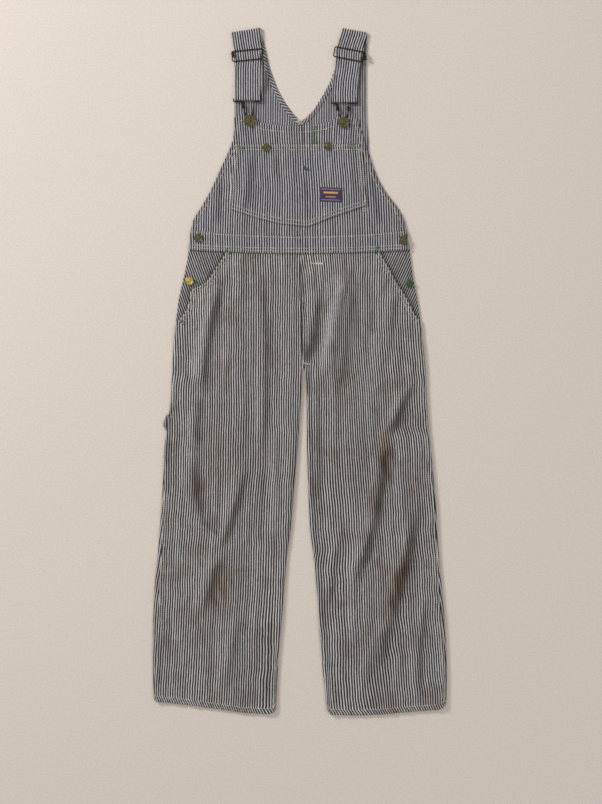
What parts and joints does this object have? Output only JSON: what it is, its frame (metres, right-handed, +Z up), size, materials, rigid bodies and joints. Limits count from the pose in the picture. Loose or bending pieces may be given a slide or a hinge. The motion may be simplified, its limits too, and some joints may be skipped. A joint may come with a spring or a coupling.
{
  "type": "pair of striped bib overalls",
  "caption": "Worn striped work overalls laid flat: bib with patch pocket and wire-looped straps over a vest back, waistband, slant pockets and straight open legs.",
  "frame": {"origin": "on the surface that the garment lies on, under the middle of its bounding box", "axes": "+Z up, away from the surface; +Y from the hems to the shoulders; -X is the left side as seen from the front"},
  "size_m": [0.5873, 1.3746, 0.0089],
  "materials": {
    "stripe_cloth": "worn hickory stripe twill, matt, with brown stains",
    "stripe_cloth_inside": "paler inside face of the same striped twill, matt",
    "button_brass": "dull olive brass, tarnished",
    "wire": "dark rusted steel wire",
    "label": "woven purple label with plain yellow bands"
  },
  "bodies": {
    "root": {"left_leg_front": "stripe_cloth", "right_leg_front": "stripe_cloth", "left_leg_back": "stripe_cloth", "right_leg_back": "stripe_cloth", "left_pocket_facing": "stripe_cloth", "right_pocket_facing": "stripe_cloth", "vest_back": "stripe_cloth_inside", "neck_binding": "stripe_cloth", "bib": "stripe_cloth", "bib_pocket": "stripe_cloth", "waistband": "stripe_cloth", "left_strap": "stripe_cloth", "right_strap": "stripe_cloth", "tool_loop": "stripe_cloth", "left_slider": "wire", "right_slider": "wire", "left_strap_loop": "wire", "right_strap_loop": "wire", "left_strap_button": "button_brass", "right_strap_button": "button_brass", "left_pocket_button": "button_brass", "right_pocket_button": "button_brass", "left_waist_button": "button_brass", "right_waist_button": "button_brass", "left_hip_button": "button_brass", "right_hip_button": "button_brass", "label": "label"}
  },
  "joints": []
}
